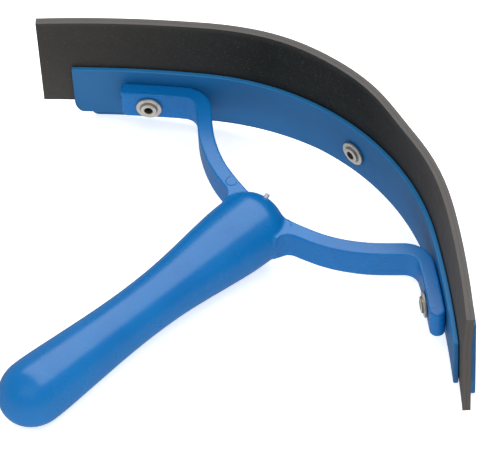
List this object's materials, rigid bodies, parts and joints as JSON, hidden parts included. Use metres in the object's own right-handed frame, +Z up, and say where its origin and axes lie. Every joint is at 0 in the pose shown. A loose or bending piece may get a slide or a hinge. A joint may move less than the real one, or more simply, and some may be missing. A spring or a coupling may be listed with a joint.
{
  "type": "curved-blade sweat scraper",
  "caption": "Hand-held scraper: a turned grip with a two-armed yoke carries a bowed rubber blade clamped between two plastic strips by blind rivets.",
  "frame": {"origin": "centre of the bounding box at the height of the table it stands on, tipped back on the end of its grip as it rests", "axes": "+X across the blade, +Y from the grip towards the blade, +Z up"},
  "size_m": [0.2372, 0.2006, 0.0657],
  "materials": {
    "grip_blue": "glossy injection-moulded blue plastic",
    "strip_blue": "semi-matt blue plastic strip",
    "dark_rubber": "matt dark rubber with a fine speckle",
    "rivet_aluminium": "pressed aluminium, dull",
    "mandrel_steel": "broken end of a dark steel wire"
  },
  "bodies": {
    "root": {"handle_yoke": "grip_blue", "inner_strip": "strip_blue", "outer_strip": "strip_blue", "rubber_blade": "dark_rubber", "washer_left": "rivet_aluminium", "rivet_left": "rivet_aluminium", "mandrel_left": "mandrel_steel", "washer_middle": "rivet_aluminium", "rivet_middle": "rivet_aluminium", "mandrel_middle": "mandrel_steel", "washer_right": "rivet_aluminium", "rivet_right": "rivet_aluminium", "mandrel_right": "mandrel_steel"}
  },
  "joints": []
}
